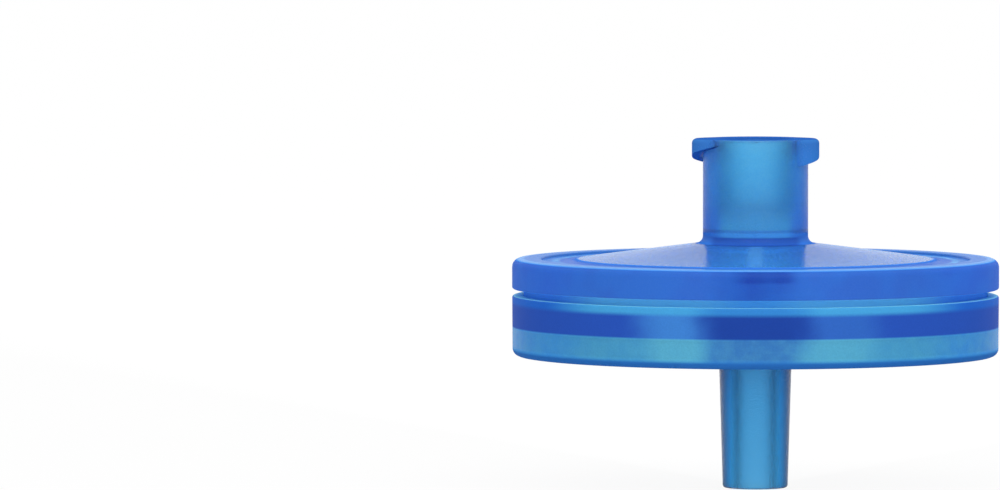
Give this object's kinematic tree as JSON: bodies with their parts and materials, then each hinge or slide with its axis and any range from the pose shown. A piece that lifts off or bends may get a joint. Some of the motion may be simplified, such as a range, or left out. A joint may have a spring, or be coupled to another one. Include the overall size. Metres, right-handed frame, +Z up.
{
  "type": "syringe filter",
  "caption": "Disc-shaped syringe filter of translucent blue plastic with a female luer lock inlet, a male luer slip outlet and a membrane sealed between two welded housings.",
  "frame": {"origin": "centre of the outlet tip's end face, at the base", "axes": "+Z up along the axis, from the outlet to the inlet; the two locking lugs lie along X"},
  "size_m": [0.0298, 0.0298, 0.0215],
  "materials": {
    "outlet_plastic": "satin",
    "membrane_sheet": "matte",
    "inlet_plastic": "satin"
  },
  "bodies": {
    "root": {"outlet_housing": "outlet_plastic", "membrane": "membrane_sheet", "inlet_housing": "inlet_plastic"}
  },
  "joints": []
}
